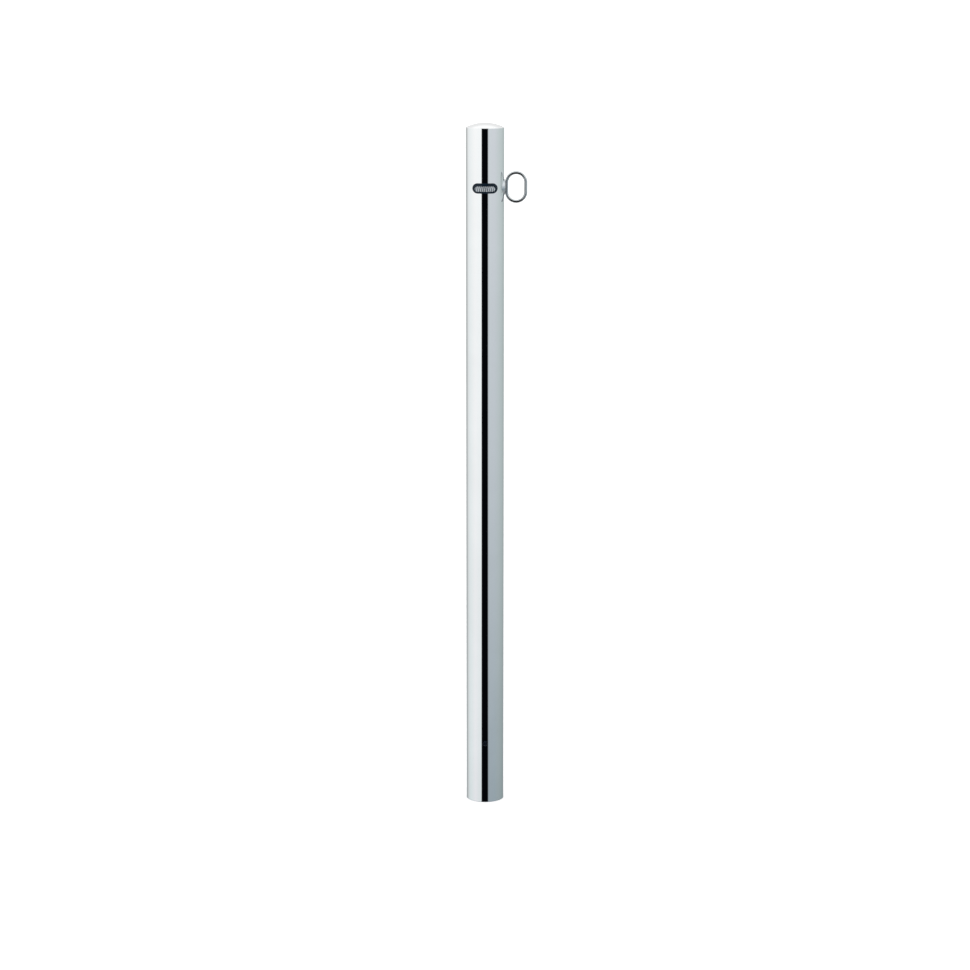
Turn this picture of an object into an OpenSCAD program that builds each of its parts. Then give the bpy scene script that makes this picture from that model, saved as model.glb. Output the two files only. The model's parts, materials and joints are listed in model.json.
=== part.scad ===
// Cast-in stainless steel bollard with a pull-out barrier chain.
//
// The post is a polished pipe that runs through ground level into its footing.
// A chain with a weight on its end hangs inside it.  The chain leaves through a
// bush in the side wall, and a plug with a ring closes the bush.  Pulling the
// ring draws the chain out, and the weight draws it back into the post.
//
// Frame: millimetres, origin on the post's axis at ground level, +Z up,
// +X out of the side outlet, -Y the side that carries the badge.

/* [Post] */
// Outside diameter of the pipe
tube_od = 60.5; // [54:0.5:76]
// Wall of the pipe
tube_wall = 2; // [1.5:0.5:3]
// Height of the cap's crown above ground
height_above_ground = 850; // [600:10:950]
// Depth of the post below ground
embedded_depth = 250; // [180:10:350]

/* [Cap] */
// Rise of the domed cap above the pipe's end
cap_rise = 7.5; // [4:0.5:12]
// Thickness of the pressed cap
cap_wall = 1.5; // [1:0.5:2.5]
// Length of the skirt that locates the cap in the pipe
cap_skirt_h = 8; // [5:1:20]
// Thickness of the skirt
cap_skirt_wall = 1.5; // [1:0.5:3]

/* [Anchor hole] */
// Diameter of the cross hole for the anchor bar
anchor_hole_d = 9; // [6:0.5:13]
// Height of the cross hole above the post's lower end
anchor_hole_up = 100; // [60:5:130]

/* [Chain store] */
// Height of the store's floor above the cross hole
floor_above_anchor = 23; // [20:1:40]
// Wall of the pressed cup that makes the floor
floor_t = 2; // [1.5:0.5:3]
// Depth of the cup
floor_cup_h = 10; // [6:1:12]

/* [Side outlet] */
// Depth of the outlet's axis below the cap's crown
outlet_drop = 100; // [80:5:160]
// Diameter of the bush's flange, where it meets the sides of the pipe
bush_flange_d = 30; // [28:1:34]
// Diameter of the flange's flat face, inside its tapered rim
bush_face_d = 24; // [23:0.5:25]
// How far the flange stands proud of the pipe
bush_proud = 1; // [0.8:0.1:2]
// Diameter of the bush's sleeve, where it passes through the pipe's wall
bush_sleeve_d = 22; // [21:0.5:23]
// Bore of the bush
bush_bore_d = 16; // [15.5:0.5:17]
// Length of the bush from the flange's face
bush_len = 10; // [9.5:0.5:12]
// Radius of the rounded mouth at the bush's inner end
bush_mouth_r = 1.5; // [0.5:0.5:2]
// Outside diameter of the ring nut
nut_d = 28; // [26:1:30]
// Thickness of the ring nut
nut_t = 3; // [2:0.5:4]
// Number of spanner notches in the ring nut
nut_notches = 4; // [2:1:6]
// Width of a spanner notch
nut_notch_w = 3; // [2:0.5:4]
// Depth of a spanner notch
nut_notch_depth = 1.5; // [1:0.25:2]

/* [Plug] */
// Diameter of the plug's head
plug_head_d = 19.4; // [18.5:0.1:20]
// Thickness of the plug's head
plug_head_t = 2; // [1.5:0.1:2.5]
// How far the plug's face stands proud of the flange
plug_proud = 0.5; // [0.4:0.1:1]
// Diameter of the plug's body
plug_body_d = 15.4; // [14:0.1:15.4]
// Length of the plug's body behind its head
plug_body_len = 3; // [2.5:0.1:3.5]
// Depth of the groove that seats the ring's wire
ring_seat_depth = 0.3; // [0.2:0.1:0.6]

/* [Ring] */
// Diameter of the ring's wire
ring_wire_d = 5; // [4:0.5:6]
// Outside width of the ring
ring_w = 35; // [30:1:45]
// Outside height of the ring
ring_h = 50; // [45:1:70]

/* [Chain] */
// Diameter of the chain's wire
chain_wire_d = 4; // [3.5:0.1:4.2]
// Inside length of a link, which is also the pitch of the chain
chain_pitch = 24; // [23:0.5:26]
// Inside width of a link
link_inner_w = 6; // [5:0.5:6]
// Diameter of the weight
weight_d = 34; // [26:1:44]
// Length of the weight
weight_len = 50; // [30:1:80]
// Edge chamfer of the weight
weight_chamfer = 2; // [1:0.5:4]
// Clear height left between the weight and the floor
weight_floor_gap = 15; // [5:1:40]

/* [Badge] */
// Width of the badge, seen from the front
badge_w = 39.6; // [28:0.2:46]
// Height of the badge
badge_h = 16; // [10:1:24]
// Thickness of the badge
badge_t = 0.6; // [0.4:0.1:1]
// Margin of the badge round its reflective strip
strip_margin = 4; // [2:0.5:4.5]
// How far the strip sits below the middle of the badge
strip_drop = 1; // [0:0.25:1.5]
// How far the strip stands proud of the badge
strip_proud = 0.15; // [0.1:0.05:0.3]

/* [Fits] */
// Clearance between parts that are welded, bonded or screwed together
seat_gap = 0.1; // [0.05:0.05:0.3]
// Clearance round the plug's head in its recess
plug_gap = 0.3; // [0.2:0.05:0.5]
// Clearance between links where they hang on each other
link_gap = 0.05; // [0.05:0.05:0.2]

/* [Hidden] */
$fn = 64;
eps = 0.01;

// Post
tube_r = tube_od / 2;
tube_inner_r = tube_r - tube_wall;
foot_z = -embedded_depth;
rim_z = height_above_ground - cap_rise;
anchor_z = foot_z + anchor_hole_up;

// Cap: a sphere through the pipe's rim and the crown
dome_r = (tube_r * tube_r + cap_rise * cap_rise) / (2 * cap_rise);
dome_z = height_above_ground - dome_r;
cap_skirt_r = tube_inner_r - seat_gap;

// Chain store's floor
floor_z = anchor_z + floor_above_anchor;
floor_r = tube_inner_r - seat_gap;

// Outlet
outlet_z = height_above_ground - outlet_drop;
flange_x = tube_r + bush_proud;
plug_x = flange_x + plug_proud;
bush_end_x = flange_x - bush_len;
// The flange is a cone, cut to fit the round pipe
saddle_r = tube_r + seat_gap;
flange_r = bush_flange_d / 2;
flange_root_x = sqrt(saddle_r * saddle_r - flange_r * flange_r);
flange_slope = (flange_r - bush_face_d / 2) / (flange_x - flange_root_x);
flange_start_x = flange_root_x - tube_wall;
flange_start_r = flange_r + tube_wall * flange_slope;
sleeve_hole_d = bush_sleeve_d + 2 * seat_gap;
recess_d = plug_head_d + 2 * plug_gap;
recess_x = plug_x - plug_head_t - seat_gap;
// A flat nut bears where the inside of the round wall meets its rim
nut_outer_x = sqrt(tube_inner_r * tube_inner_r - nut_d * nut_d / 4) - seat_gap;
nut_inner_x = nut_outer_x - nut_t;

// Plug
plug_shoulder_x = plug_x - plug_head_t;
plug_inner_x = plug_shoulder_x - plug_body_len;
ring_seat_r = ring_wire_d / 2 + seat_gap / 2;

// Ring: its wire's centreline is a stadium that stands in the XZ plane
ring_bend_r = (ring_w - ring_wire_d) / 2;
ring_straight = ring_h - ring_w;
ring_wire_r = ring_wire_d / 2;
ring_near_x = plug_x - ring_seat_depth + ring_seat_r;
ring_x = ring_near_x + ring_bend_r;

// Chain: each link is a stadium of wire, and the next one hangs in its crown
wire_r = chain_wire_d / 2;
link_w = link_inner_w + chain_wire_d;
link_bend_r = link_w / 2;
// Distance between the centrelines of a link's two crowns
link_len = chain_pitch + chain_wire_d;
// Centre distance of neighbouring links
link_step = chain_pitch - link_gap;
// Inner crown of the eye in the plug
eye_reach = 7;
eye_crown_x = plug_inner_x - eye_reach;
// Middle of the link that lies in the bush
first_link_x = eye_crown_x + chain_wire_d + link_gap - link_len / 2;
// The second link turns the corner: it hangs on the first one's inner crown
turn_x = first_link_x - link_len / 2;
second_link_z = outlet_z + chain_wire_d + link_gap - link_len / 2;
// Middle of the third link, the first of the vertical run
run_z = second_link_z - link_step;
// The weight hangs just above the floor, and the chain fills what is left
weight_eye_reach = 7;
weight_top_limit = floor_z + weight_floor_gap + weight_len;
run_links = floor((run_z + link_len / 2 - weight_top_limit - weight_eye_reach) / link_step);
last_link_z = run_z - (run_links - 1) * link_step;
weight_eye_z = last_link_z - link_len / 2 + chain_wire_d + link_gap;
weight_top_z = weight_eye_z - weight_eye_reach;
weight_bottom_z = weight_top_z - weight_len;

// Badge
badge_inner_r = tube_r + seat_gap;
badge_outer_r = badge_inner_r + badge_t;
strip_w = badge_w - 2 * strip_margin;
strip_h = badge_h - 2 * strip_margin;
strip_z = outlet_z - strip_drop;
strip_inner_r = badge_outer_r - badge_t / 2;
strip_outer_r = badge_outer_r + strip_proud;

// Colours
polished = [0.80, 0.82, 0.84];
bright = [0.72, 0.74, 0.76];
zinc = [0.62, 0.64, 0.66];
navy = [0.07, 0.09, 0.14];
silver = [0.78, 0.80, 0.82];

function two_digits(n) = n < 10 ? str("0", n) : str(n);
function link_name(n) = str("chain_link_", two_digits(n));

link_names = [for (n = [1 : run_links + 2]) link_name(n)];

// Round bar or hole along +X, from x0 to x1, on the outlet's axis
module outlet_bar(d, x0, x1) {
    translate([x0, 0, outlet_z])
        rotate([0, 90, 0])
            cylinder(d = d, h = x1 - x0);
}

// Half ring of wire in the XZ plane, which closes a loop on its +Z side
module half_loop(bend_r, wire) {
    rotate([90, 0, 0])
        rotate_extrude(angle = 180)
            translate([bend_r, 0])
                circle(r = wire);
}

// Closed loop of wire in the XZ plane, long in Z: two half rings and two straights
module wire_loop(bend_r, straight, wire) {
    translate([0, 0, straight / 2])
        half_loop(bend_r, wire);
    translate([0, 0, -straight / 2])
        rotate([0, 180, 0])
            half_loop(bend_r, wire);
    for (side = [-1, 1])
        translate([side * bend_r, 0, -straight / 2])
            cylinder(r = wire, h = straight);
}

// One link of the chain, long in Z, in the XZ plane
module link() {
    wire_loop(link_bend_r, link_len - link_w, wire_r);
}

// Eye with its crown at the origin's +Z side and two legs down to -reach
module staple(reach) {
    leg = reach - link_bend_r;
    translate([0, 0, -link_bend_r]) {
        half_loop(link_bend_r, wire_r);
        for (side = [-1, 1])
            translate([side * link_bend_r, 0, -leg])
                cylinder(r = wire_r, h = leg);
    }
}

// Outline of the badge and of its strip
module stadium(w, h) {
    square([w - h, h], center = true);
    for (side = [-1, 1])
        translate([side * (w - h) / 2, 0])
            circle(d = h);
}

// Plate bent round the pipe: a stadium seen from -Y, between two radii
module wrapped_stadium(w, h, z, r_in, r_out) {
    difference() {
        intersection() {
            translate([0, 0, z])
                rotate([90, 0, 0])
                    linear_extrude(height = r_out + 1)
                        stadium(w, h);
            translate([0, 0, z - h])
                cylinder(r = r_out, h = 2 * h);
        }
        translate([0, 0, z - 2 * h])
            cylinder(r = r_in, h = 4 * h);
    }
}

// Polished pipe, drilled for the anchor bar and for the outlet's bush
module post_tube() {
    color(polished)
        difference() {
            translate([0, 0, foot_z])
                cylinder(r = tube_r, h = rim_z - foot_z);
            translate([0, 0, foot_z - 1])
                cylinder(r = tube_inner_r, h = rim_z - foot_z + 2);
            translate([0, tube_od, anchor_z])
                rotate([90, 0, 0])
                    cylinder(d = anchor_hole_d, h = 2 * tube_od);
            outlet_bar(sleeve_hole_d, 0, tube_od);
        }
}

// Pressed dome that closes the pipe, with a skirt inside it
module top_cap() {
    skirt_z = rim_z - cap_skirt_h;
    hollow_r = cap_skirt_r - cap_skirt_wall;
    color(polished)
        difference() {
            union() {
                intersection() {
                    translate([0, 0, dome_z])
                        sphere(r = dome_r);
                    translate([0, 0, rim_z])
                        cylinder(r = tube_r, h = 2 * cap_rise);
                }
                translate([0, 0, skirt_z])
                    cylinder(r = cap_skirt_r, h = cap_skirt_h + eps);
            }
            intersection() {
                translate([0, 0, dome_z])
                    sphere(r = dome_r - cap_wall);
                translate([0, 0, skirt_z - 1])
                    cylinder(r = hollow_r, h = cap_skirt_h + 2 * cap_rise);
            }
        }
}

// Pressed cup welded into the pipe: the floor of the chain store keeps concrete out
module store_floor() {
    color(zinc)
        difference() {
            translate([0, 0, floor_z - floor_cup_h])
                cylinder(r = floor_r, h = floor_cup_h);
            translate([0, 0, floor_z - floor_cup_h - 1])
                cylinder(r = floor_r - floor_t, h = floor_cup_h - floor_t + 1);
        }
}

// Turned bush: a tapered flange that fits the pipe, a sleeve, and a recess for the plug
module outlet_bush() {
    mouth_r = bush_bore_d / 2 + bush_mouth_r;
    color(bright)
        difference() {
            union() {
                difference() {
                    translate([flange_start_x, 0, outlet_z])
                        rotate([0, 90, 0])
                            cylinder(r1 = flange_start_r, r2 = bush_face_d / 2, h = flange_x - flange_start_x);
                    translate([0, 0, outlet_z - bush_flange_d])
                        cylinder(r = saddle_r, h = 2 * bush_flange_d);
                }
                outlet_bar(bush_sleeve_d, bush_end_x, flange_x - eps);
            }
            outlet_bar(bush_bore_d, bush_end_x - 1, flange_x + 1);
            outlet_bar(recess_d, recess_x, flange_x + 1);
            translate([bush_end_x, 0, outlet_z])
                rotate([0, 90, 0])
                    rotate_extrude()
                        difference() {
                            translate([0, -1])
                                square([mouth_r, 1 + bush_mouth_r]);
                            translate([mouth_r, bush_mouth_r])
                                circle(r = bush_mouth_r);
                        }
        }
}

// Notched ring nut that draws the bush's flange against the pipe from inside
module outlet_nut() {
    color(zinc)
        difference() {
            outlet_bar(nut_d, nut_inner_x, nut_outer_x);
            outlet_bar(sleeve_hole_d, nut_inner_x - 1, nut_outer_x + 1);
            for (n = [0 : nut_notches - 1])
                translate([nut_inner_x - 1, 0, outlet_z])
                    rotate([360 / nut_notches * (n + 0.5), 0, 0])
                        translate([0, -nut_notch_w / 2, nut_d / 2 - nut_notch_depth])
                            cube([nut_t + 2, nut_notch_w, nut_d]);
        }
}

// Enamelled plate, bent to the pipe and bonded on
module badge() {
    color(navy)
        difference() {
            wrapped_stadium(badge_w, badge_h, outlet_z, badge_inner_r, badge_outer_r);
            wrapped_stadium(strip_w + 2 * seat_gap, strip_h + 2 * seat_gap, strip_z, strip_inner_r, tube_od);
        }
}

// Plain reflective strip let into the plate
module badge_strip() {
    color(silver)
        wrapped_stadium(strip_w, strip_h, strip_z, strip_inner_r + seat_gap / 2, strip_outer_r);
}

// Turned plug that closes the outlet and carries the ring and the chain
module outlet_plug() {
    color(bright)
        difference() {
            union() {
                outlet_bar(plug_head_d, plug_shoulder_x, plug_x);
                outlet_bar(plug_body_d, plug_inner_x, plug_shoulder_x + eps);
            }
            translate([ring_near_x, 0, outlet_z - ring_h])
                cylinder(r = ring_seat_r, h = 2 * ring_h);
        }
}

// Staple on the back of the plug, where the chain starts
module plug_eye() {
    color(zinc)
        translate([eye_crown_x, 0, outlet_z])
            rotate([0, -90, 0])
                staple(eye_reach);
}

// Ring that the user pulls, brazed across the plug's face
module pull_ring() {
    color(polished)
        translate([ring_x, 0, outlet_z])
            wire_loop(ring_bend_r, ring_straight, ring_wire_r);
}

// Links 1 and 2 turn the corner behind the outlet, and the rest hang straight down
module chain_link(n) {
    color(zinc)
        if (n == 1)
            translate([first_link_x, 0, outlet_z])
                rotate([90, 0, 0])
                    rotate([0, 90, 0])
                        link();
        else if (n == 2)
            translate([turn_x, 0, second_link_z])
                link();
        else
            translate([turn_x, 0, run_z - (n - 3) * link_step])
                rotate([0, 0, n % 2 == 1 ? 90 : 0])
                    link();
}

// Staple on top of the weight
module weight_eye() {
    color(zinc)
        translate([turn_x, 0, weight_eye_z])
            rotate([0, 0, run_links % 2 == 0 ? 90 : 0])
                staple(weight_eye_reach);
}

// Slug that draws the chain back in, too wide to leave through the outlet
module stop_weight() {
    weight_r = weight_d / 2;
    color(zinc)
        translate([turn_x, 0, weight_bottom_z])
            rotate_extrude()
                polygon([
                    [0, 0],
                    [weight_r - weight_chamfer, 0],
                    [weight_r, weight_chamfer],
                    [weight_r, weight_len - weight_chamfer],
                    [weight_r - weight_chamfer, weight_len],
                    [0, weight_len]
                ]);
}

post_tube();
top_cap();
store_floor();
outlet_bush();
outlet_nut();
badge();
badge_strip();
outlet_plug();
plug_eye();
pull_ring();
for (n = [1 : run_links + 2])
    chain_link(n);
weight_eye();
stop_weight();
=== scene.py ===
import bpy
import bmesh
import json
import math
from mathutils import Matrix, Vector


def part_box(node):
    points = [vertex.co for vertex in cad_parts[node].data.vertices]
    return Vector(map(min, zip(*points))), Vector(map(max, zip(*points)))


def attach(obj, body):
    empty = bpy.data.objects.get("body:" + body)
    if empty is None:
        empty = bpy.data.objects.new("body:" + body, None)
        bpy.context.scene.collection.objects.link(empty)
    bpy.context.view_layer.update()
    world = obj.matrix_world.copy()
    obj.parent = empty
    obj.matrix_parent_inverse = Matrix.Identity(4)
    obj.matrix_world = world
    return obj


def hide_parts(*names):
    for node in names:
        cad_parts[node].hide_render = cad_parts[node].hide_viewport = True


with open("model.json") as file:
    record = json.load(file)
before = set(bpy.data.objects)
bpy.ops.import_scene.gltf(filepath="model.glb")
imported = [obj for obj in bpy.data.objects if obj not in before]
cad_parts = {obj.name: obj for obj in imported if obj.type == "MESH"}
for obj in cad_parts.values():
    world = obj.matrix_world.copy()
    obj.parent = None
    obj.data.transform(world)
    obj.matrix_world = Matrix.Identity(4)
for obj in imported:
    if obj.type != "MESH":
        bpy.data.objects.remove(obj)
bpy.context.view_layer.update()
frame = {"nodes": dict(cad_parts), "record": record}

# ------------------------------------------------------------------ the post's pipe
# Welded stainless pipe, cut square, deburred and mirror polished over its whole length.
# It is drilled through near the foot for the anchor bar, and once in the side for the
# outlet's bush.  Fine polishing lines run round it, because the pipe turns as it is buffed.
# The bore and the drilled edges keep a dull mill finish, and their colour is darkened
# further as painted shade inside the pipe and in the holes.

MM = 0.001
pipe_low, pipe_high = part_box("post_tube")
cap_low, cap_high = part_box("top_cap")
plug_low, plug_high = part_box("outlet_plug")
bush_low, bush_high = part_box("outlet_bush")
pipe_r = pipe_high.y
pipe_wall = 2 * MM
pipe_bore_r = pipe_r - pipe_wall
outlet_z = (plug_low.z + plug_high.z) / 2
anchor_hole_r = 4.5 * MM
anchor_hole_z = pipe_low.z + 100 * MM
sleeve_hole_r = 11.1 * MM
rim_chamfer = 0.12 * MM
foot_chamfer = 0.5 * MM
# Rings of edges above and below each drilled hole keep the long wall free of slivers
anchor_hole_margin = 12 * MM
sleeve_hole_margin = 18 * MM
pipe_steps = 192
sharp_angle = math.radians(30)
X, Y, Z = Vector((1, 0, 0)), Vector((0, 1, 0)), Vector((0, 0, 1))


def node_adder(material):
    """Short ways to add shader nodes and join them: add("TexNoise", {"Scale": 4}) and link(a, b)."""
    tree = material.node_tree

    def add(kind, inputs=None, **settings):
        node = tree.nodes.new("ShaderNode" + kind)
        for key, value in settings.items():
            setattr(node, key, value)
        for key, value in (inputs or {}).items():
            node.inputs[key].default_value = value
        return node

    return add, tree.links.new


def new_material(name):
    material = bpy.data.materials.new(name)
    material.use_nodes = True
    return material, material.node_tree.nodes["Principled BSDF"]


def set_ramp(ramp, stops):
    """Sets a colour ramp's stops from a list of (place, grey or colour)."""
    elements = ramp.color_ramp.elements
    while len(elements) > 1:
        elements.remove(elements[-1])
    for index, (place, value) in enumerate(stops):
        element = elements[0] if index == 0 else elements.new(place)
        element.position = place
        colour = value if isinstance(value, tuple) else (value, value, value)
        element.color = (*colour, 1)


def polished_steel(name, tint, line_scale, roughness):
    """Buffed steel: lines stretched by line_scale, faint smears, and a mirror under them."""
    material, steel = new_material(name)
    add, link = node_adder(material)
    steel.inputs["Metallic"].default_value = 1
    place = add("TexCoord")
    lines_map = add("Mapping", {"Scale": line_scale})
    lines = add("TexNoise", {"Scale": 1, "Detail": 5, "Roughness": 0.6})
    smears = add("TexNoise", {"Scale": 9, "Detail": 3, "Roughness": 0.55, "Distortion": 0.8})
    link(place.outputs["Object"], lines_map.inputs["Vector"])
    link(lines_map.outputs["Vector"], lines.inputs["Vector"])
    link(place.outputs["Object"], smears.inputs["Vector"])
    shade = add("ValToRGB")
    dark = tuple(c * 0.955 for c in tint)
    set_ramp(shade, [(0.3, dark), (0.7, tint)])
    link(smears.outputs["Fac"], shade.inputs["Fac"])
    link(shade.outputs["Color"], steel.inputs["Base Color"])
    low, high = roughness
    gloss = add("MapRange", {"From Min": 0.25, "From Max": 0.75, "To Min": low, "To Max": high})
    mixed = add("Math", {1: 0.5}, operation="MULTIPLY_ADD")
    link(lines.outputs["Fac"], mixed.inputs[0])
    link(smears.outputs["Fac"], mixed.inputs[2])
    halved = add("Math", {1: 0.667}, operation="MULTIPLY")
    link(mixed.outputs[0], halved.inputs[0])
    link(halved.outputs[0], gloss.inputs["Value"])
    link(gloss.outputs["Result"], steel.inputs["Roughness"])
    bump = add("Bump", {"Strength": 0.006, "Distance": 0.00002})
    link(lines.outputs["Fac"], bump.inputs["Height"])
    link(bump.outputs["Normal"], steel.inputs["Normal"])
    return material


def plated_steel(name, bright, dull, roughness, grain):
    """Zinc plate or bare drawn steel: cloudy spangle, a little pitting, and dulled patches."""
    material, steel = new_material(name)
    add, link = node_adder(material)
    steel.inputs["Metallic"].default_value = 1
    place = add("TexCoord")
    clouds = add("TexNoise", {"Scale": grain, "Detail": 6, "Roughness": 0.65, "Distortion": 0.5})
    pits = add("TexVoronoi", {"Scale": grain * 6})
    link(place.outputs["Object"], clouds.inputs["Vector"])
    link(place.outputs["Object"], pits.inputs["Vector"])
    shade = add("ValToRGB")
    set_ramp(shade, [(0.35, dull), (0.6, bright)])
    link(clouds.outputs["Fac"], shade.inputs["Fac"])
    link(shade.outputs["Color"], steel.inputs["Base Color"])
    low, high = roughness
    gloss = add("MapRange", {"From Min": 0.3, "From Max": 0.7, "To Min": high, "To Max": low})
    link(clouds.outputs["Fac"], gloss.inputs["Value"])
    link(gloss.outputs["Result"], steel.inputs["Roughness"])
    bump = add("Bump", {"Strength": 0.3, "Distance": 0.00003})
    link(pits.outputs["Distance"], bump.inputs["Height"])
    link(bump.outputs["Normal"], steel.inputs["Normal"])
    return material


def put(bm, name, material, crease=sharp_angle):
    """Makes a finished object of a bmesh: doubles merged, normals outwards, sharp edges kept."""
    bmesh.ops.remove_doubles(bm, verts=bm.verts, dist=1e-7)
    bmesh.ops.recalc_face_normals(bm, faces=bm.faces)
    mesh = bpy.data.meshes.new(name)
    bm.to_mesh(mesh)
    bm.free()
    mesh.materials.append(material)
    mesh.shade_smooth()
    mesh.set_sharp_from_angle(angle=crease)
    piece = bpy.data.objects.new(name, mesh)
    bpy.context.scene.collection.objects.link(piece)
    return piece


def turned(outline, axis, steps, start=(1, 0, 0)):
    """A lathe part: the closed outline of (radius, height) points, spun about an axis."""
    bm = bmesh.new()
    along, out = Vector(axis), Vector(start)
    verts = [bm.verts.new(out * radius + along * height) for radius, height in outline]
    for a, b in zip(verts, verts[1:] + verts[:1]):
        if (a.co - b.co).length > 1e-9 and not (on_axis(a, along) and on_axis(b, along)):
            bm.edges.new((a, b))
    bmesh.ops.spin(bm, geom=bm.verts[:] + bm.edges[:], cent=(0, 0, 0), axis=axis,
                   angle=2 * math.pi, steps=steps, use_merge=True)
    bmesh.ops.remove_doubles(bm, verts=bm.verts, dist=1e-7)
    return bm


def on_axis(vert, axis):
    return vert.co.cross(axis).length < 1e-9


def rod(radius, start, end, sides=64):
    """A plain round cutter from one point to another."""
    bm = bmesh.new()
    span = Vector(end) - Vector(start)
    turn = span.to_track_quat("Z", "Y").to_matrix().to_4x4()
    middle = Matrix.Translation((Vector(start) + Vector(end)) / 2)
    bmesh.ops.create_cone(bm, cap_ends=True, segments=sides, radius1=radius, radius2=radius,
                          depth=span.length, matrix=middle @ turn)
    return bm


def cut(piece, cutters):
    """Takes the cutters out of a piece and leaves it as a plain mesh."""
    tools = []
    for bm in cutters:
        mesh = bpy.data.meshes.new("cutter")
        bm.to_mesh(mesh)
        bm.free()
        tool = bpy.data.objects.new("cutter", mesh)
        bpy.context.scene.collection.objects.link(tool)
        modifier = piece.modifiers.new("drill", "BOOLEAN")
        modifier.operation = "DIFFERENCE"
        modifier.solver = "EXACT"
        modifier.object = tool
        tools.append(tool)
    bpy.context.view_layer.update()
    done = bpy.data.meshes.new_from_object(piece.evaluated_get(bpy.context.evaluated_depsgraph_get()))
    piece.modifiers.clear()
    piece.data = done
    for tool in tools:
        bpy.data.objects.remove(tool)
    done.set_sharp_from_angle(angle=sharp_angle)


round_tolerance = 0.02 * MM


def true_round(piece, radii, axis=Z):
    """Gives faces on round walls about an axis their exact normals, so that reflections run true."""
    mesh = piece.data
    normals = []
    for face in mesh.polygons:
        for index in face.vertices:
            co = mesh.vertices[index].co
            out = co - axis * co.dot(axis)
            side = face.normal.dot(out.normalized()) if out.length > 1e-6 else 0
            on_wall = any(abs(out.length - radius) < round_tolerance for radius in radii)
            if abs(side) > 0.98 and on_wall:
                normals.append(out.normalized() * math.copysign(1, side))
            else:
                normals.append(Vector((0, 0, 0)))
    mesh.normals_split_custom_set(normals)


pipe_outline = [
    (pipe_bore_r + foot_chamfer, pipe_low.z), (pipe_r - foot_chamfer, pipe_low.z),
    (pipe_r, pipe_low.z + foot_chamfer),
    (pipe_r, anchor_hole_z - anchor_hole_margin), (pipe_r, anchor_hole_z + anchor_hole_margin),
    (pipe_r, outlet_z - sleeve_hole_margin), (pipe_r, outlet_z + sleeve_hole_margin),
    (pipe_r, pipe_high.z - rim_chamfer), (pipe_r - rim_chamfer, pipe_high.z),
    (pipe_bore_r, pipe_high.z),
    (pipe_bore_r, outlet_z + sleeve_hole_margin), (pipe_bore_r, outlet_z - sleeve_hole_margin),
    (pipe_bore_r, anchor_hole_z + anchor_hole_margin), (pipe_bore_r, anchor_hole_z - anchor_hole_margin),
    (pipe_bore_r, pipe_low.z + foot_chamfer),
]
steel_tint = (0.94, 0.95, 0.955)
mirror_steel = polished_steel("mirror_polished_steel", steel_tint, (30, 30, 2600), (0.02, 0.04))
# Dull mill steel for the bore and drilled edges, its colour darkened as painted shade inside the pipe
mill_and_shade_steel = plated_steel("mill_steel_painted_shade", (0.36, 0.42, 0.50), (0.22, 0.26, 0.32), (0.4, 0.6), 120)
pipe = put(turned(pipe_outline, Z, pipe_steps), "polished_pipe", mirror_steel)
cut(pipe, [
    rod(anchor_hole_r, (0, -2 * pipe_r, anchor_hole_z), (0, 2 * pipe_r, anchor_hole_z)),
    rod(sleeve_hole_r, (0, 0, outlet_z), (2 * pipe_r, 0, outlet_z), 96),
])
pipe.data.materials.append(mill_and_shade_steel)
# Bore and hole-wall faces take the darkened mill steel: a real dull finish plus painted shade for the pipe's
# inside
for face in pipe.data.polygons:
    if face.center.to_2d().length < pipe_r - rim_chamfer and abs(face.normal.z) < 0.99:
        face.material_index = 1
true_round(pipe, (pipe_r, pipe_bore_r))
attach(pipe, "post")
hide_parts("post_tube")

# ------------------------------------------------------------------ the domed cap
# Pressed from sheet, pushed into the pipe on its skirt, welded round the rim and buffed flush.
# A hairline is all that shows of the joint, and the edge of the dome is softly rounded.

cap_wall = 1.5 * MM
cap_skirt_r = pipe_bore_r - 0.1 * MM
cap_edge_r = 0.6 * MM
cap_rise = cap_high.z - pipe_high.z
# The dome meets the rounded edge without a kink, and its crown stands at the cap's full height
dome_r = ((pipe_r - cap_edge_r) ** 2 + cap_rise ** 2 - cap_edge_r ** 2) / (2 * (cap_rise - cap_edge_r))
dome_half_angle = math.asin((pipe_r - cap_edge_r) / (dome_r - cap_edge_r))
dome_steps = 24
edge_steps = 8


def dome_arc(radius, centre_z, half_angle, steps):
    """Points from the crown outwards along a dome."""
    angles = [half_angle * step / steps for step in range(steps + 1)]
    return [(radius * math.sin(a), centre_z + radius * math.cos(a)) for a in angles]


dome_z = cap_high.z - dome_r
edge_outline = [
    (pipe_r - cap_edge_r + cap_edge_r * math.cos(a), pipe_high.z + rim_chamfer + cap_edge_r * math.sin(a))
    for a in [(math.pi / 2 - dome_half_angle) * (1 - step / edge_steps) for step in range(edge_steps + 1)]
]
under_half_angle = math.asin((cap_skirt_r - cap_wall) / (dome_r - cap_wall))
cap_outline = dome_arc(dome_r, dome_z, dome_half_angle, dome_steps)[:-1] + edge_outline + [
    (pipe_r - rim_chamfer, pipe_high.z),
    (cap_skirt_r, pipe_high.z),
    (cap_skirt_r, cap_low.z + 0.4 * MM),
    (cap_skirt_r - 0.4 * MM, cap_low.z),
    (cap_skirt_r - cap_wall, cap_low.z),
] + dome_arc(dome_r - cap_wall, dome_z, under_half_angle, dome_steps)[::-1]
cap_steel = polished_steel("buffed_cap_steel", steel_tint, (500, 500, 500), (0.03, 0.07))
cap = put(turned(cap_outline, Z, pipe_steps), "domed_cap", cap_steel)
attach(cap, "post")
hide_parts("top_cap")

# ------------------------------------------------------------------ the outlet's bush
# Turned from stainless bar.  Its tapered flange is left satin and shaped to the pipe, and a
# recess in its face takes the plug's head.  The sleeve's bore is rounded at its inner end.

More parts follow.
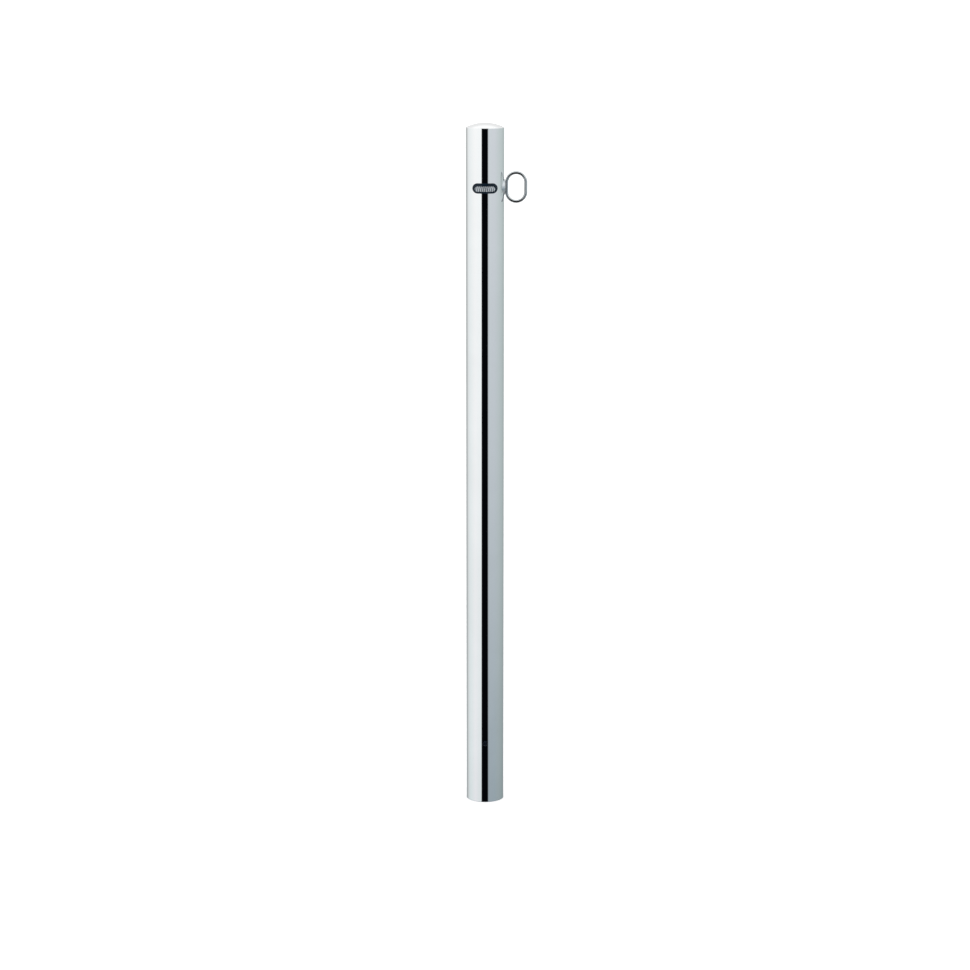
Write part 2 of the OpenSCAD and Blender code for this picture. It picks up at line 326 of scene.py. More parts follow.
bush_face_x = bush_high.x
bush_end_x = bush_low.x
flange_r = bush_high.y
flange_face_r = 12 * MM
sleeve_r = 11 * MM
bore_r = 8 * MM
bore_mouth = 1.5 * MM
recess_r = 10 * MM
recess_x = plug_high.x - 2.1 * MM
face_chamfer = 0.35 * MM
saddle_r = pipe_r + 0.1 * MM
flange_root_x = math.sqrt(saddle_r ** 2 - flange_r ** 2)
flange_slope = (flange_r - flange_face_r) / (bush_face_x - flange_root_x)
flange_start_x = flange_root_x - 2 * MM
flange_start_r = flange_r + (flange_root_x - flange_start_x) * flange_slope


def raise_to_outlet(bm):
    bmesh.ops.translate(bm, verts=bm.verts, vec=(0, 0, outlet_z))
    return bm


def turned_steel(name, tint, roughness):
    """Fine lathe rings about the outlet's axis, on bright steel."""
    material, steel = new_material(name)
    add, link = node_adder(material)
    steel.inputs["Metallic"].default_value = 1
    place = add("TexCoord")
    centred = add("Mapping", {"Location": (0, 0, -outlet_z)})
    parts = add("SeparateXYZ")
    link(place.outputs["Object"], centred.inputs["Vector"])
    link(centred.outputs["Vector"], parts.inputs["Vector"])
    flat = add("CombineXYZ")
    link(parts.outputs["Y"], flat.inputs["X"])
    link(parts.outputs["Z"], flat.inputs["Y"])
    far = add("VectorMath", operation="LENGTH")
    link(flat.outputs["Vector"], far.inputs[0])
    rings = add("Math", {1: 9000}, operation="MULTIPLY")
    link(far.outputs["Value"], rings.inputs[0])
    lines = add("TexNoise", {"Scale": 1, "Detail": 4}, noise_dimensions="1D")
    link(rings.outputs[0], lines.inputs["W"])
    grime = add("TexNoise", {"Scale": 220, "Detail": 4, "Roughness": 0.6})
    link(place.outputs["Object"], grime.inputs["Vector"])
    shade = add("ValToRGB")
    set_ramp(shade, [(0.3, tuple(c * 0.84 for c in tint)), (0.62, tint)])
    link(grime.outputs["Fac"], shade.inputs["Fac"])
    link(shade.outputs["Color"], steel.inputs["Base Color"])
    low, high = roughness
    gloss = add("MapRange", {"From Min": 0.3, "From Max": 0.7, "To Min": low, "To Max": high})
    link(lines.outputs["Fac"], gloss.inputs["Value"])
    link(gloss.outputs["Result"], steel.inputs["Roughness"])
    bump = add("Bump", {"Strength": 0.25, "Distance": 0.00001})
    link(lines.outputs["Fac"], bump.inputs["Height"])
    link(bump.outputs["Normal"], steel.inputs["Normal"])
    return material


lathe_steel = turned_steel("fine_turned_steel", (0.82, 0.83, 0.84), (0.12, 0.24))
flange_outline = [
    (recess_r, bush_face_x - face_chamfer), (recess_r + face_chamfer, bush_face_x),
    (flange_face_r - face_chamfer, bush_face_x),
    (flange_face_r - 0.3 * face_chamfer, bush_face_x - 0.1 * face_chamfer),
    (flange_face_r + 0.15 * face_chamfer, bush_face_x - 0.4 * face_chamfer),
    (flange_face_r + face_chamfer * flange_slope, bush_face_x - face_chamfer),
    (flange_start_r, flange_start_x), (recess_r, flange_start_x),
]
flange_steel = polished_steel("satin_flange_steel", (0.66, 0.70, 0.73), (500, 500, 500), (0.20, 0.32))
flange_blank = raise_to_outlet(turned(flange_outline, X, pipe_steps, Y))
bush_flange = put(flange_blank, "outlet_bush_flange", flange_steel)
saddle_cutter = rod(saddle_r, (0, 0, outlet_z - 2 * flange_r), (0, 0, outlet_z + 2 * flange_r), 256)
cut(bush_flange, [saddle_cutter])
true_round(bush_flange, (saddle_r,))
mouth_arc = [
    (bore_r + bore_mouth * (1 - math.sin(a)), bush_end_x + bore_mouth * (1 - math.cos(a)))
    for a in [math.pi / 2 * step / 6 for step in range(7)]
]
sleeve_outline = mouth_arc + [
    (bore_r, recess_x - face_chamfer), (bore_r + face_chamfer, recess_x),
    (recess_r, recess_x), (recess_r, bush_face_x - 0.3 * MM - face_chamfer),
    (sleeve_r - 0.8 * MM, bush_face_x - 0.3 * MM - face_chamfer),
    (sleeve_r - 0.8 * MM, saddle_r - 0.3 * MM), (sleeve_r, saddle_r - 0.3 * MM),
    (sleeve_r, bush_end_x + face_chamfer), (sleeve_r - face_chamfer, bush_end_x),
]
bush_sleeve = put(raise_to_outlet(turned(sleeve_outline, X, 128, Y)), "outlet_bush_sleeve", lathe_steel)
for part in (bush_flange, bush_sleeve):
    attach(part, "post")
    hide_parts("outlet_bush")

# ------------------------------------------------------------------ the ring nut
# Zinc-plated ring nut that clamps the bush from inside the pipe.  Notches in its inner
# face take a pin spanner.

nut_low, nut_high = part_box("outlet_nut")
nut_r = nut_high.y
nut_bore_r = sleeve_hole_r
nut_notch_w = 3 * MM
nut_notch_depth = 1.5 * MM
nut_edge = 0.3 * MM
zinc_steel = plated_steel("zinc_plated_steel", (0.70, 0.71, 0.73), (0.52, 0.53, 0.55), (0.22, 0.42), 160)
nut_outline = [
    (nut_bore_r, nut_low.x + nut_edge), (nut_bore_r + nut_edge, nut_low.x),
    (nut_r - nut_edge, nut_low.x), (nut_r, nut_low.x + nut_edge),
    (nut_r, nut_high.x - nut_edge), (nut_r - nut_edge, nut_high.x),
    (nut_bore_r + nut_edge, nut_high.x), (nut_bore_r, nut_high.x - nut_edge),
]
nut = put(raise_to_outlet(turned(nut_outline, X, 96, Y)), "ring_nut", zinc_steel)
notch_tools = []
for quarter in range(4):
    notch = bmesh.new()
    bmesh.ops.create_cube(notch, size=1)
    notch_size = (3 * (nut_high.x - nut_low.x), nut_notch_w, 2 * nut_notch_depth)
    bmesh.ops.scale(notch, verts=notch.verts, vec=notch_size)
    bmesh.ops.translate(notch, verts=notch.verts, vec=(nut_low.x, 0, nut_r))
    bmesh.ops.rotate(notch, verts=notch.verts, cent=(0, 0, 0),
                     matrix=Matrix.Rotation(math.radians(45 + 90 * quarter), 3, "X"))
    notch_tools.append(raise_to_outlet(notch))
cut(nut, notch_tools)
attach(nut, "post")
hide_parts("outlet_nut")

# ------------------------------------------------------------------ the store's floor
# Pressed cup, spot welded in the pipe above the cross hole.  It closes the chain's store
# and keeps the footing's concrete out of it.

floor_low, floor_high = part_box("store_floor")
cup_r = floor_high.y
cup_wall = 2 * MM
cup_bend = 2.5 * MM


def quarter_bend(centre_r, centre_z, radius, steps=6):
    """Points round a pressed corner, from the top outwards and down."""
    angles = [math.pi / 2 * (1 - step / steps) for step in range(steps + 1)]
    return [(centre_r + radius * math.cos(a), centre_z + radius * math.sin(a)) for a in angles]


cup_outline = [(0, floor_high.z)] + quarter_bend(cup_r - cup_bend, floor_high.z - cup_bend, cup_bend) + [
    (cup_r, floor_low.z), (cup_r - cup_wall, floor_low.z),
] + quarter_bend(cup_r - cup_bend, floor_high.z - cup_bend, cup_bend - cup_wall)[::-1] + [
    (0, floor_high.z - cup_wall),
]
cup = put(turned(cup_outline, Z, 96), "store_floor_cup", zinc_steel)
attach(cup, "post")
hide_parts("store_floor")

# ------------------------------------------------------------------ the badge
# Thin stadium-shaped plate, enamelled dark navy, bent to the pipe and bonded on.  A strip of
# silver reflective sheeting, printed with slanted navy bars, is let into its face.

badge_low, badge_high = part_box("badge")
badge_back_r = pipe_r + 0.1 * MM
badge_front_r = -badge_low.y
badge_w = badge_high.x - badge_low.x
badge_h = badge_high.z - badge_low.z
strip_low, strip_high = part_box("badge_strip")
strip_w = strip_high.x - strip_low.x
strip_h = strip_high.z - strip_low.z
strip_front_r = -strip_low.y
strip_bed_r = badge_front_r - 0.3 * MM
strip_gap = 0.1 * MM
strip_z = (strip_low.z + strip_high.z) / 2
bar_pitch = 3.1 * MM
bar_slant = math.radians(12)
bend_columns = 40


def stadium_face(bm, width, height, columns):
    """A flat stadium in the XZ plane, cut into columns so that it bends evenly."""
    segments = 48
    # Half a segment's turn leaves no corner on the middle line, where the two ends part
    upright = Matrix.Rotation(math.radians(90), 4, "X") @ Matrix.Rotation(math.pi / segments, 4, "Z")
    bmesh.ops.create_circle(bm, cap_ends=True, segments=segments, radius=height / 2, matrix=upright)
    for vert in bm.verts:
        vert.co.x += math.copysign((width - height) / 2, vert.co.x)
    for step in range(1, columns):
        at = (-width / 2 + width * step / columns, 0, 0)
        bmesh.ops.bisect_plane(bm, geom=bm.verts[:] + bm.edges[:] + bm.faces[:], dist=1e-7,
                               plane_co=at, plane_no=X)


def bend_round(bm, radius, height):
    """Wraps a flat plate on the pipe's front: y holds the depth behind the given radius."""
    for vert in bm.verts:
        depth_r = radius - vert.co.y
        vert.co.y = -math.sqrt(depth_r ** 2 - vert.co.x ** 2)
        vert.co.z += height


def enamel(name, colour, deep):
    """Fired enamel: glossy and dark, with a slight orange peel and fine dust."""
    material, coat = new_material(name)
    add, link = node_adder(material)
    place = add("TexCoord")
    peel = add("TexNoise", {"Scale": 900, "Detail": 2})
    clouds = add("TexNoise", {"Scale": 120, "Detail": 4, "Roughness": 0.6})
    link(place.outputs["Object"], peel.inputs["Vector"])
    link(place.outputs["Object"], clouds.inputs["Vector"])
    shade = add("ValToRGB")
    set_ramp(shade, [(0.35, deep), (0.65, colour)])
    link(clouds.outputs["Fac"], shade.inputs["Fac"])
    link(shade.outputs["Color"], coat.inputs["Base Color"])
    gloss = add("MapRange", {"From Min": 0.3, "From Max": 0.7, "To Min": 0.14, "To Max": 0.28})
    link(clouds.outputs["Fac"], gloss.inputs["Value"])
    link(gloss.outputs["Result"], coat.inputs["Roughness"])
    bump = add("Bump", {"Strength": 0.2, "Distance": 0.00002})
    link(peel.outputs["Fac"], bump.inputs["Height"])
    link(bump.outputs["Normal"], coat.inputs["Normal"])
    coat.inputs["Specular IOR Level"].default_value = 0.15
    coat.inputs["Coat Weight"].default_value = 0.04
    coat.inputs["Coat Roughness"].default_value = 0.08
    return material


navy_enamel = enamel("navy_enamel", (0.006, 0.015, 0.026), (0.003, 0.009, 0.017))
plate = bmesh.new()
stadium_face(plate, badge_w, badge_h, bend_columns)
bed = bmesh.new()
stadium_face(bed, strip_w + 2 * strip_gap, strip_h + 2 * strip_gap, bend_columns)
badge_thickness = badge_front_r - badge_back_r
grown = bmesh.ops.extrude_face_region(plate, geom=plate.faces[:])
front = [item for item in grown["geom"] if isinstance(item, bmesh.types.BMVert)]
bmesh.ops.translate(plate, verts=front, vec=(0, badge_thickness, 0))
bmesh.ops.recalc_face_normals(plate, faces=plate.faces)
rim = [edge for edge in plate.edges
       if all(vert.co.y < 1e-9 for vert in edge.verts) and edge.calc_face_angle(0) > 1]
bmesh.ops.bevel(plate, geom=rim, offset=0.18 * MM, segments=3, profile=0.5, affect="EDGES", material=-1)
deeper = bmesh.ops.extrude_face_region(bed, geom=bed.faces[:])
bottom = [item for item in deeper["geom"] if isinstance(item, bmesh.types.BMVert)]
bmesh.ops.translate(bed, verts=bottom, vec=(0, badge_front_r - strip_bed_r, 0))
bmesh.ops.translate(bed, verts=[vert for vert in bed.verts if vert not in set(bottom)], vec=(0, -1 * MM, 0))
bmesh.ops.recalc_face_normals(bed, faces=bed.faces)
bend_round(bed, badge_front_r, strip_z)
bend_round(plate, badge_front_r, outlet_z)
badge = put(plate, "badge_plate", navy_enamel)
cut(badge, [bed])
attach(badge, "post")
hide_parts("badge")


def sheeting(name):
    """Silver reflective sheeting under clear plastic, with fine cells and slanted navy print."""
    material, film = new_material(name)
    add, link = node_adder(material)
    place = add("TexCoord")
    cells = add("TexVoronoi", {"Scale": 2600})
    haze = add("TexNoise", {"Scale": 260, "Detail": 3})
    link(place.outputs["Object"], cells.inputs["Vector"])
    link(place.outputs["Object"], haze.inputs["Vector"])
    shade = add("ValToRGB")
    set_ramp(shade, [(0.0, (0.34, 0.38, 0.41)), (0.6, (0.52, 0.56, 0.59))])
    link(cells.outputs["Distance"], shade.inputs["Fac"])
    parts = add("SeparateXYZ")
    link(place.outputs["Object"], parts.inputs["Vector"])
    slant = add("Math", {1: math.tan(bar_slant)}, operation="MULTIPLY")
    link(parts.outputs["Z"], slant.inputs[0])
    along = add("Math", operation="SUBTRACT")
    link(parts.outputs["X"], along.inputs[0])
    link(slant.outputs[0], along.inputs[1])
    bars = add("Math", {1: bar_pitch / 2}, operation="PINGPONG")
    link(along.outputs[0], bars.inputs[0])
    ink = add("MapRange", {"From Min": 0.17 * bar_pitch, "From Max": 0.20 * bar_pitch})
    link(bars.outputs[0], ink.inputs["Value"])
    printed = add("MixRGB", {"Color1": (0.012, 0.026, 0.045, 1)})
    link(ink.outputs["Result"], printed.inputs["Fac"])
    link(shade.outputs["Color"], printed.inputs["Color2"])
    link(printed.outputs["Color"], film.inputs["Base Color"])
    film.inputs["Metallic"].default_value = 0.3
    gloss = add("MapRange", {"From Min": 0.3, "From Max": 0.7, "To Min": 0.3, "To Max": 0.45})
    link(haze.outputs["Fac"], gloss.inputs["Value"])
    link(gloss.outputs["Result"], film.inputs["Roughness"])
    bump = add("Bump", {"Strength": 0.4, "Distance": 0.00004})
    link(cells.outputs["Distance"], bump.inputs["Height"])
    link(bump.outputs["Normal"], film.inputs["Normal"])
    film.inputs["Coat Weight"].default_value = 0.25
    film.inputs["Coat Roughness"].default_value = 0.15
    return material


film_piece = bmesh.new()
stadium_face(film_piece, strip_w, strip_h, bend_columns)
raised = bmesh.ops.extrude_face_region(film_piece, geom=film_piece.faces[:])
back = [item for item in raised["geom"] if isinstance(item, bmesh.types.BMVert)]
bmesh.ops.translate(film_piece, verts=back, vec=(0, strip_front_r - strip_bed_r - 0.05 * MM, 0))
bmesh.ops.recalc_face_normals(film_piece, faces=film_piece.faces)
lip = [edge for edge in film_piece.edges
       if all(abs(vert.co.y) < 1e-9 for vert in edge.verts) and edge.calc_face_angle(0) > 1]
bmesh.ops.bevel(film_piece, geom=lip, offset=0.08 * MM, segments=2, profile=0.5, affect="EDGES",
                material=-1)
bend_round(film_piece, strip_front_r, strip_z)
strip = put(film_piece, "reflective_strip", sheeting("silver_sheeting"))
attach(strip, "post")
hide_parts("badge_strip")

# ------------------------------------------------------------------ the outlet's plug
# Turned stainless plug that closes the bush.  Its face has a shallow groove in which the
# ring's wire is brazed.

head_r = 9.7 * MM
body_r = 7.7 * MM
head_t = 2 * MM
head_round = 0.7 * MM
ring_low, ring_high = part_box("pull_ring")
ring_wire_r = ring_high.y
ring_near_x = ring_low.x + ring_wire_r
plug_outline = [
    (0, plug_high.x), (head_r - head_round, plug_high.x),
    (head_r - 0.5 * head_round, plug_high.x - 0.16 * head_round),
    (head_r - 0.16 * head_round, plug_high.x - 0.5 * head_round), (head_r, plug_high.x - head_round),
    (head_r, plug_high.x - head_t + face_chamfer / 2), (head_r - face_chamfer / 2, plug_high.x - head_t),
    (body_r, plug_high.x - head_t), (body_r, plug_low.x + face_chamfer),
    (body_r - face_chamfer, plug_low.x), (0, plug_low.x),
]
plug = put(raise_to_outlet(turned(plug_outline, X, 128, Y)), "outlet_plug_body", lathe_steel)
groove_r = ring_wire_r + 0.05 * MM
groove_middle = Vector((ring_near_x, 0, outlet_z))
groove_reach = Vector((0, 0, 3 * head_r))
cut(plug, [rod(groove_r, groove_middle - groove_reach, groove_middle + groove_reach, 96)])
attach(plug, "pull")
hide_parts("outlet_plug")

# ------------------------------------------------------------------ the pull ring
# Round stainless wire bent to a long ring, butt welded and buffed, then brazed upright
# across the plug's face.  Two slim fillets of braze hold it.

ring_bend_r = (ring_high.x - ring_low.x) / 2 - ring_wire_r
ring_straight = (ring_high.z - ring_low.z) - (ring_high.x - ring_low.x)
ring_x = (ring_high.x + ring_low.x) / 2
wire_crease = math.radians(60)


def bar_edges(geometry):
    return [item for item in geometry if isinstance(item, bmesh.types.BMEdge)]


def wire_end(bm, radius, sides, at):
    """The open end of a round wire that runs along Z, as a ring of edges."""
    made = bmesh.ops.create_circle(bm, radius=radius, segments=sides, matrix=Matrix.Translation(at))
    return list({edge for vert in made["verts"] for edge in vert.link_edges})


def wire_run(bm, edges, vec, pieces=1):
    """Draws the wire on from an end, straight, and returns its new end."""
    for _ in range(pieces):
        grown = bmesh.ops.extrude_edge_only(bm, edges=edges)
        verts = [item for item in grown["geom"] if isinstance(item, bmesh.types.BMVert)]
        bmesh.ops.translate(bm, verts=verts, vec=Vector(vec) / pieces)
        edges = bar_edges(grown["geom"])
    return edges


def wire_bend(bm, edges, centre, steps):
    """Bends the wire on by half a turn in the XZ plane, over the top from +X to -X."""
    spun = bmesh.ops.spin(bm, geom=edges, cent=centre, axis=(0, -1, 0), angle=math.pi, steps=steps)
    return bar_edges(spun["geom_last"])


def wire_ring(bend_r, straight, wire_r, sides, steps, pieces=1):
    """A closed loop of wire in the XZ plane, long in Z: two bends and two straights."""
    bm = bmesh.new()
    end = wire_end(bm, wire_r, sides, (bend_r, 0, straight / 2))
    end = wire_bend(bm, end, (0, 0, straight / 2), steps)
    end = wire_run(bm, end, (0, 0, -straight), pieces)
    end = wire_bend(bm, end, (0, 0, -straight / 2), steps)
    wire_run(bm, end, (0, 0, straight), pieces)
    bmesh.ops.remove_doubles(bm, verts=bm.verts, dist=1e-6)
    return bm


ring_mesh = wire_ring(ring_bend_r, ring_straight, ring_wire_r, 40, 48, 6)
bmesh.ops.translate(ring_mesh, verts=ring_mesh.verts, vec=(ring_x, 0, outlet_z))
ring_steel = polished_steel("buffed_ring_steel", (0.57, 0.60, 0.62), (400, 400, 400), (0.10, 0.18))
ring = put(ring_mesh, "pull_ring_wire", ring_steel, wire_crease)
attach(ring, "pull")
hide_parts("pull_ring")

braze_steel = plated_steel("silver_braze", (0.50, 0.51, 0.50), (0.40, 0.41, 0.40), (0.25, 0.38), 500)
fillet_half = ring_straight / 2
fillet_size = 1.1 * MM
for side in (-1, 1):
    fillet = bmesh.new()
    corner = Vector((plug_high.x - 0.05 * MM, side * (ring_wire_r * 0.55), outlet_z - fillet_half))
    outline = [
        corner,
        corner + Vector((0, side * (fillet_size + 0.6 * MM), 0)),
        corner + Vector((0.25 * MM, side * (fillet_size * 0.75), 0)),
        corner + Vector((0.75 * MM, side * (fillet_size * 0.62), 0)),
        corner + Vector((1.5 * MM, side * (fillet_size * 0.78), 0)),
        corner + Vector((1.2 * MM, 0, 0)),
    ]
    face = fillet.faces.new([fillet.verts.new(point) for point in outline])
    wire_run(fillet, face.edges[:], (0, 0, 2 * fillet_half), 8)
    bmesh.ops.holes_fill(fillet, edges=fillet.edges[:], sides=8)
    for vert in fillet.verts:
        shrink = 1 - 0.75 * ((vert.co.z - outlet_z) / fillet_half) ** 8
        vert.co.y = corner.y + (vert.co.y - corner.y) * shrink
        vert.co.x = corner.x + (vert.co.x - corner.x) * shrink
    bead = put(fillet, "braze_fillet_front" if side < 0 else "braze_fillet_back", braze_steel, wire_crease)
    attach(bead, "pull")

# ------------------------------------------------------------------ the chain
# Welded chain of round steel wire.  Each link has a small upset where its ends were butt
# welded, on one straight side.  The first link follows the plug, and the rest hang in the post.

link_low, link_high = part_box("chain_link_03")
link_wire_r = (link_high.x - link_low.x) / 2
link_bend_r = (link_high.y - link_low.y) / 2 - link_wire_r
link_straight = (link_high.z - link_low.z) - (link_high.y - link_low.y)
weld_swell = 0.3 * MM
weld_length = 1.6 * MM
chain_steel = plated_steel("bright_chain_steel", (0.72, 0.73, 0.74), (0.5, 0.51, 0.53), (0.2, 0.36), 240)


def chain_link():
    """One link in the XZ plane at the origin, with its weld upset on the +X side."""
    bm = wire_ring(link_bend_r, link_straight, link_wire_r, 18, 12, 12)
    for vert in bm.verts:
        if vert.co.x > 0 and abs(vert.co.z) < link_straight / 2:
            out = Vector((vert.co.x - link_bend_r, vert.co.y, 0))
            vert.co += out.normalized() * weld_swell * math.exp(-(vert.co.z / weld_length) ** 2)
    return bm


node_bodies = {node: body for body, nodes in frame["record"]["behaviour"]["bodies"].items() for node in nodes}
link_nodes = sorted(node for node in frame["nodes"] if node.startswith("chain_link_"))
for node in link_nodes:
    low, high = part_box(node)
    spans = high - low
    link = chain_link()
    if spans.x > spans.z:
        turn = Matrix.Rotation(math.radians(90), 3, "X") @ Matrix.Rotation(math.radians(90), 3, "Y")
    elif spans.y > spans.x:
        turn = Matrix.Rotation(math.radians(90), 3, "Z")
    else:
        turn = Matrix.Identity(3)
    bmesh.ops.rotate(link, verts=link.verts, cent=(0, 0, 0), matrix=turn)
    bmesh.ops.translate(link, verts=link.verts, vec=(low + high) / 2)
    made = put(link, "welded_" + node.removeprefix("chain_"), chain_steel, wire_crease)
    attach(made, node_bodies[node])
    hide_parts(node)

# ------------------------------------------------------------------ the two staples
# Bent wire eyes, welded on: one on the plug's back, where the chain starts, and one on
# top of the weight, where it ends.

staple_reach = 7 * MM


def staple():
    """A wire eye: crown up at the origin, legs down to the staple's reach."""
    bm = bmesh.new()
    leg = staple_reach - link_bend_r
    start = wire_end(bm, link_wire_r, 24, (link_bend_r, 0, -staple_reach))
    bmesh.ops.edgeloop_fill(bm, edges=start)
    end = wire_run(bm, start, (0, 0, leg), 2)
    end = wire_bend(bm, end, (0, 0, -link_bend_r), 16)
    end = wire_run(bm, end, (0, 0, -leg), 2)
    bmesh.ops.edgeloop_fill(bm, edges=end)
    return bm


eye_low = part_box("plug_eye")[0]
plug_staple = staple()
bmesh.ops.rotate(plug_staple, verts=plug_staple.verts, cent=(0, 0, 0),
                 matrix=Matrix.Rotation(math.radians(-90), 3, "Y"))
bmesh.ops.translate(plug_staple, verts=plug_staple.verts, vec=(eye_low.x + link_wire_r, 0, outlet_z))
weight_eye_low, weight_eye_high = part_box("weight_eye")
weight_staple = staple()
if weight_eye_high.y - weight_eye_low.y > weight_eye_high.x - weight_eye_low.x:
    bmesh.ops.rotate(weight_staple, verts=weight_staple.verts, cent=(0, 0, 0),
                     matrix=Matrix.Rotation(math.radians(90), 3, "Z"))
chain_x = (weight_eye_low.x + weight_eye_high.x) / 2
bmesh.ops.translate(weight_staple, verts=weight_staple.verts,
                    vec=(chain_x, 0, weight_eye_high.z - link_wire_r))
for bm, name, node in (
    (plug_staple, "plug_staple", "plug_eye"),
    (weight_staple, "weight_staple", "weight_eye"),
):
    made = put(bm, name, chain_steel, wire_crease)
    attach(made, node_bodies[node])
    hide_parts(node)

# ------------------------------------------------------------------ the weight
# Iron slug, turned and dull plated, that draws the chain back into the post.  It is too
# wide to leave through the outlet.

weight_low, weight_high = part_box("stop_weight")
weight_r = weight_high.y
weight_chamfer = 2 * MM
iron = plated_steel("dull_plated_iron", (0.46, 0.47, 0.48), (0.30, 0.31, 0.32), (0.35, 0.55), 90)
weight_outline = [
    (0, weight_low.z), (weight_r - weight_chamfer, weight_low.z),
    (weight_r, weight_low.z + weight_chamfer), (weight_r, weight_high.z - weight_chamfer),
    (weight_r - weight_chamfer, weight_high.z), (0, weight_high.z),
]
slug = turned(weight_outline, Z, 96)
corners = [edge for edge in slug.edges if edge.calc_face_angle(0) > math.radians(30)]
bmesh.ops.bevel(slug, geom=corners, offset=0.4 * MM, segments=3, profile=0.5, affect="EDGES", material=-1)
bmesh.ops.translate(slug, verts=slug.verts, vec=(chain_x, 0, 0))
weight = put(slug, "chain_weight", iron)
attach(weight, "hanging_chain")
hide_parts("stop_weight")

# ------------------------------------------------------------------ floor, light and camera
# A seamless pale floor under a bright studio sky.  A dark screen behind the camera and a
# grey one on the right are what the polished pipe mirrors as its stripe and its soft grey.

floor_mesh = bmesh.new()
bmesh.ops.create_circle(floor_mesh, cap_ends=True, segments=96, radius=400,
                        matrix=Matrix.Translation((0, 0, pipe_low.z)))
floor_finish, floor_coat = new_material("pale_studio_floor")
add, link = node_adder(floor_finish)
speckle = add("TexNoise", {"Scale": 3, "Detail": 3})
floor_place = add("TexCoord")
link(floor_place.outputs["Object"], speckle.inputs["Vector"])
floor_shade = add("ValToRGB")
set_ramp(floor_shade, [(0.3, (0.93, 0.93, 0.93)), (0.7, (0.95, 0.95, 0.95))])
link(speckle.outputs["Fac"], floor_shade.inputs["Fac"])
link(floor_shade.outputs["Color"], floor_coat.inputs["Base Color"])
floor_coat.inputs["Roughness"].default_value = 0.9
floor_coat.inputs["Specular IOR Level"].default_value = 0
floor_coat.inputs["Emission Color"].default_value = (1, 1, 1, 1)
floor_coat.inputs["Emission Strength"].default_value = 0.3
floor = put(floor_mesh, "studio_floor", floor_finish)
floor.visible_glossy = False

# The room, seen from the post: bearing 0 is towards the camera, and +90 is +X
room = bpy.data.worlds.new("studio")
room.use_nodes = True
bpy.context.scene.world = room
add, link = node_adder(room)
background = room.node_tree.nodes["Background"]
looking = add("TexCoord")
split = add("SeparateXYZ")
link(looking.outputs["Generated"], split.inputs["Vector"])
towards = add("Math", {1: -1}, operation="MULTIPLY")
link(split.outputs["Y"], towards.inputs[0])
bearing = add("Math", operation="ARCTAN2")
link(split.outputs["X"], bearing.inputs[0])
link(towards.outputs[0], bearing.inputs[1])
turn_share = add("MapRange", {"From Min": -math.pi, "From Max": math.pi})
link(bearing.outputs[0], turn_share.inputs["Value"])


def at_bearing(degrees):
    return (degrees + 180) / 360


def room_band(stops):
    """A ring of wall colours round the horizon, given as (bearing, colour)."""
    ramp = add("ValToRGB")
    set_ramp(ramp, [(at_bearing(degrees), colour) for degrees, colour in stops])
    link(turn_share.outputs["Result"], ramp.inputs["Fac"])
    return ramp


dark = (0.0012, 0.0018, 0.0026)
eye_level = room_band([
    (-180, (0.60, 0.61, 0.61)), (-145, (0.50, 0.52, 0.52)), (-134, (0.54, 0.56, 0.56)),
    (-125, (0.80, 0.82, 0.82)), (-112, (0.86, 0.89, 0.90)), (-95, (0.91, 0.94, 0.94)),
    (-62, (1.0, 1.0, 1.0)), (-28, (0.98, 1.01, 1.01)), (-21.4, (0.98, 1.01, 1.01)),
    (-19.4, dark), (16.4, dark),
    (19.4, (0.61, 0.66, 0.68)), (30, (0.66, 0.70, 0.73)), (60, (0.66, 0.69, 0.73)),
    (90, (0.60, 0.66, 0.67)), (125, (0.53, 0.60, 0.60)), (145, (0.44, 0.50, 0.50)),
    (180, (0.60, 0.61, 0.61)),
])
low_level = room_band([
    (-180, (0.50, 0.51, 0.52)), (-145, (0.40, 0.43, 0.44)), (-134, (0.43, 0.47, 0.48)),
    (-125, (0.64, 0.67, 0.68)), (-112, (0.69, 0.75, 0.76)), (-95, (0.73, 0.80, 0.81)),
    (-62, (0.83, 0.83, 0.86)), (-28, (0.73, 0.79, 0.80)), (-22.6, (0.73, 0.79, 0.80)),
    (-20.6, dark), (18, dark),
    (21, (0.28, 0.34, 0.37)), (30, (0.32, 0.38, 0.42)), (60, (0.31, 0.38, 0.42)),
    (90, (0.32, 0.38, 0.40)), (125, (0.29, 0.35, 0.36)), (145, (0.26, 0.31, 0.32)),
    (180, (0.50, 0.51, 0.52)),
])
high_level = room_band([
    (-180, 0.86), (-150, 0.90), (-120, 1.08), (-29, 1.08), (-24, 0.0), (21, 0.0), (26, 1.08), (120, 1.08),
    (150, 0.90), (180, 0.86),
])
under_level = room_band([(-180, 0.6), (-45, 0.6), (-30, 0.0), (30, 0.0), (45, 0.45), (180, 0.5)])
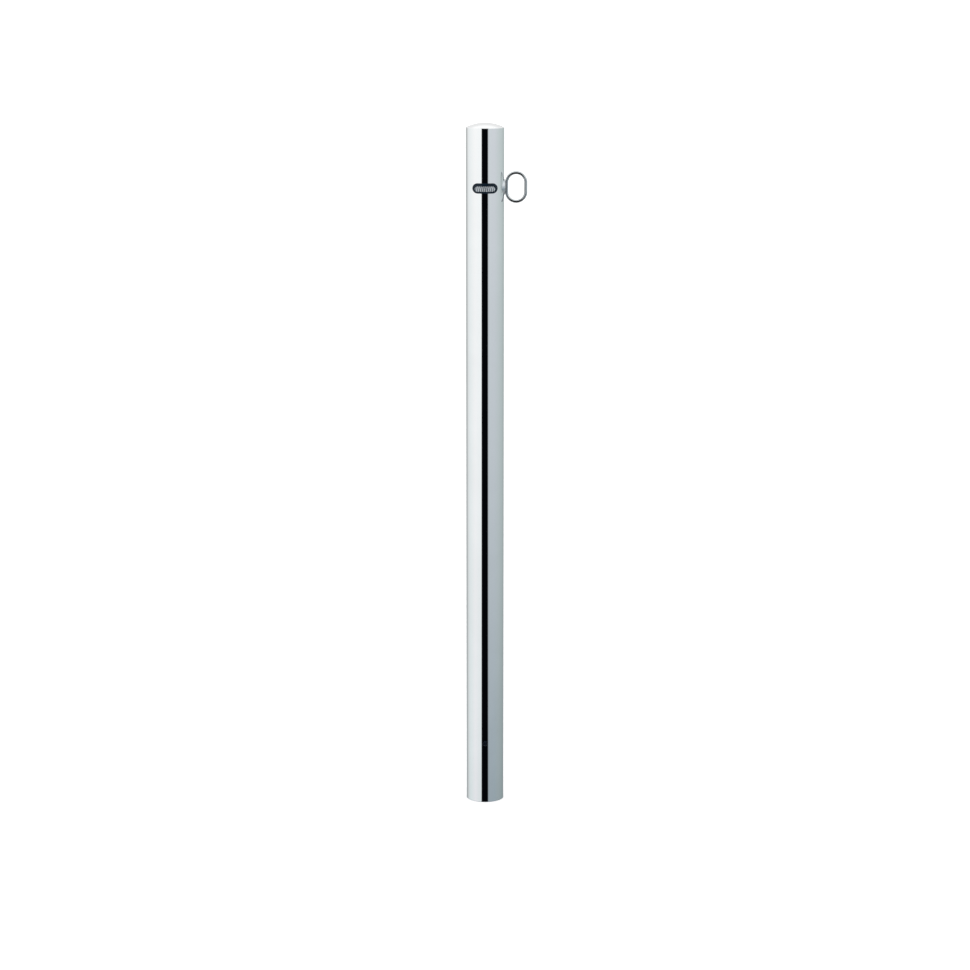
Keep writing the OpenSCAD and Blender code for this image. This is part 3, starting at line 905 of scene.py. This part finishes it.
# Height is the sine of the elevation: the walls darken downwards, and the sky is white
downwards = add("MapRange", {"From Min": -0.055, "From Max": -0.32})
link(split.outputs["Z"], downwards.inputs["Value"])
falling = add("ValToRGB")
set_ramp(falling, [(0, 0.0), (0.35, 0.27), (0.5, 0.38), (0.65, 0.53), (0.83, 0.78), (1, 1.0)])
link(downwards.outputs["Result"], falling.inputs["Fac"])
walls = add("MixRGB")
link(falling.outputs["Color"], walls.inputs["Fac"])
link(eye_level.outputs["Color"], walls.inputs["Color1"])
link(low_level.outputs["Color"], walls.inputs["Color2"])
underfoot = add("MapRange", {"From Min": -0.4, "From Max": -0.6})
link(split.outputs["Z"], underfoot.inputs["Value"])
grounded = add("MixRGB")
link(underfoot.outputs["Result"], grounded.inputs["Fac"])
link(walls.outputs["Color"], grounded.inputs["Color1"])
link(under_level.outputs["Color"], grounded.inputs["Color2"])
upwards = add("MapRange", {"From Min": 0.08, "From Max": 0.24})
link(split.outputs["Z"], upwards.inputs["Value"])
lit = add("MixRGB")
link(upwards.outputs["Result"], lit.inputs["Fac"])
link(grounded.outputs["Color"], lit.inputs["Color1"])
link(high_level.outputs["Color"], lit.inputs["Color2"])
overhead = add("MapRange", {"From Min": 0.5, "From Max": 0.66})
link(split.outputs["Z"], overhead.inputs["Value"])
sky = add("MixRGB", {"Color2": (1.08, 1.08, 1.08, 1)})
link(overhead.outputs["Result"], sky.inputs["Fac"])
link(lit.outputs["Color"], sky.inputs["Color1"])
seen = add("LightPath")
backdrop = add("MixRGB", {"Color2": (1, 1, 1, 1)})
link(seen.outputs["Is Camera Ray"], backdrop.inputs["Fac"])
link(sky.outputs["Color"], backdrop.inputs["Color1"])
link(backdrop.outputs["Color"], background.inputs["Color"])

camera_data = bpy.data.cameras.new("camera")
camera_data.lens = 96.57
camera_data.sensor_width = 36
camera = bpy.data.objects.new("camera", camera_data)
camera_place = Vector((0, -4.1, 1.09))
aim = Vector((0, 0, 0.2726))
camera.location = camera_place
camera.rotation_euler = (aim - camera_place).to_track_quat("-Z", "Y").to_euler()
bpy.context.scene.collection.objects.link(camera)
bpy.context.scene.camera = camera
bpy.context.scene.view_settings.view_transform = "Standard"
